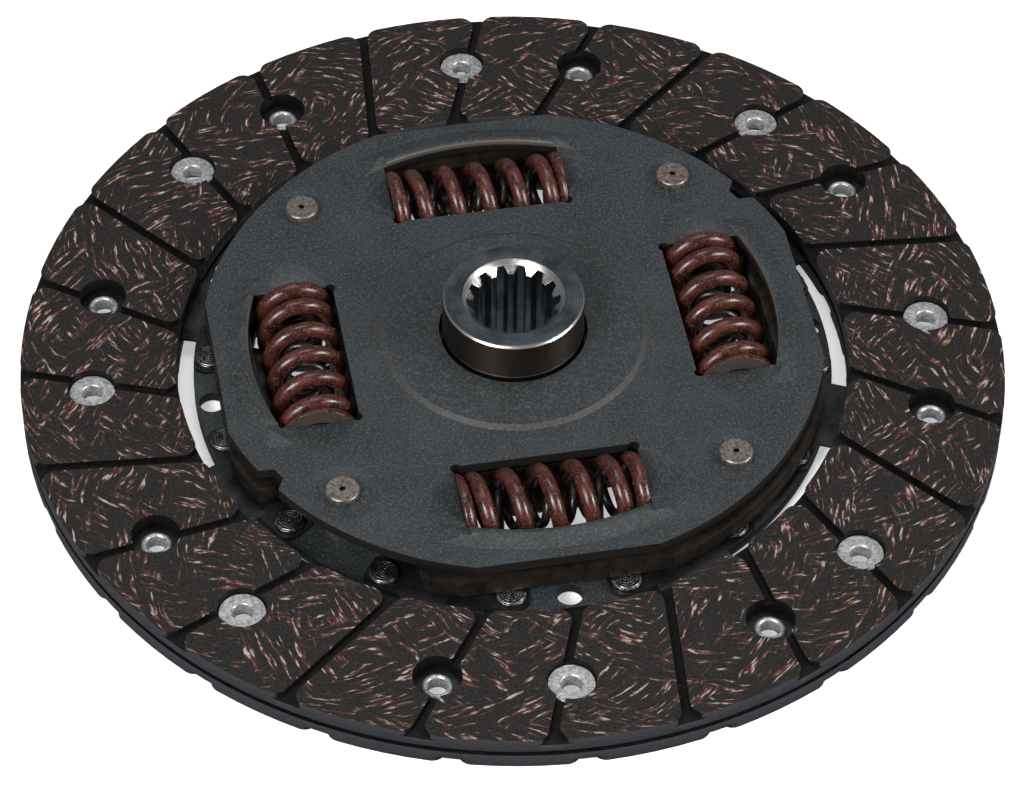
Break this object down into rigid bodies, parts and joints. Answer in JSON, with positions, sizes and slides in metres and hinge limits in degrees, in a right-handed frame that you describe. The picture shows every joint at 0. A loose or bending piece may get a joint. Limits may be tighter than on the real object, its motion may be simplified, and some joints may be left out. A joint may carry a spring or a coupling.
{
  "type": "clutch disc",
  "caption": "Damped clutch disc: grooved friction linings riveted to waved cushion segments, coil-spring torsion damper and a splined hub.",
  "frame": {"origin": "on the shaft axis, in the plane of the flywheel-side friction face", "axes": "+Z along the shaft axis towards the gearbox; +X through the middle of a damper spring"},
  "size_m": [0.215, 0.215, 0.0256],
  "materials": {
    "hub_steel": "oiled, turned",
    "flange_steel": "oiled, blanked",
    "plate_steel": "phosphated",
    "pin_steel": "riveted, oiled",
    "rivet_steel": "riveted, oiled",
    "segment_steel": "hardened spring strip",
    "spring_steel": "hardened",
    "bush_plastic": "moulded",
    "ring_plastic": "moulded",
    "friction_lining": "ground, woven yarn in resin",
    "tube_rivet": "dull",
    "outer_spring_wire": "thin red-brown lacquer",
    "inner_spring_wire": "oiled, dark"
  },
  "bodies": {
    "disc": {"driven_plate": "plate_steel", "cover_plate": "plate_steel", "stop_pins": "pin_steel", "segment_rivets": "rivet_steel", "centring_bush": "bush_plastic", "friction_ring": "ring_plastic", "disc_spring": "spring_steel", "cushion_segment_1": "segment_steel", "cushion_segment_2": "segment_steel", "cushion_segment_3": "segment_steel", "cushion_segment_4": "segment_steel", "cushion_segment_5": "segment_steel", "cushion_segment_6": "segment_steel", "cushion_segment_7": "segment_steel", "cushion_segment_8": "segment_steel"},
    "hub": {"hub": "hub_steel", "hub_flange": "flange_steel"},
    "springs": {"outer_spring_1": "outer_spring_wire", "outer_spring_2": "outer_spring_wire", "outer_spring_3": "outer_spring_wire", "outer_spring_4": "outer_spring_wire", "inner_spring_1": "inner_spring_wire", "inner_spring_2": "inner_spring_wire", "inner_spring_3": "inner_spring_wire", "inner_spring_4": "inner_spring_wire"},
    "gearbox_lining": {"lining_gearbox_side": "friction_lining", "lining_rivets_gearbox": "tube_rivet"},
    "flywheel_lining": {"lining_flywheel_side": "friction_lining", "lining_rivets_flywheel": "tube_rivet"}
  },
  "joints": [
    {"name": "damper_twist", "type": "hinge", "parent": "disc", "child": "hub", "pos_m": [0, 0, 0.00835], "axis": [0, 0, 1], "range_deg": [-16, 9], "stiffness_Nm_per_rad": 700},
    {"name": "spring_float", "type": "hinge", "parent": "disc", "child": "springs", "pos_m": [0, 0, 0.00808], "axis": [0, 0, 1], "range_deg": [-8, 4.5], "deforming": ["outer_spring_1", "outer_spring_2", "outer_spring_3", "outer_spring_4", "inner_spring_1", "inner_spring_2", "inner_spring_3", "inner_spring_4"]},
    {"name": "gearbox_lining_travel", "type": "slide", "parent": "disc", "child": "gearbox_lining", "axis": [0, 0, -1], "range_m": [0, 0.00035], "stiffness_N_per_m": 1000000, "deforming": ["cushion_segment_1", "cushion_segment_2", "cushion_segment_3", "cushion_segment_4", "cushion_segment_5", "cushion_segment_6", "cushion_segment_7", "cushion_segment_8"]},
    {"name": "flywheel_lining_travel", "type": "slide", "parent": "disc", "child": "flywheel_lining", "axis": [0, 0, 1], "range_m": [0, 0.00035], "stiffness_N_per_m": 1000000}
  ],
  "couplings": [
    {"joint": "spring_float", "follows": "damper_twist", "ratio": 0.5},
    {"joint": "flywheel_lining_travel", "follows": "gearbox_lining_travel", "ratio": 1}
  ]
}
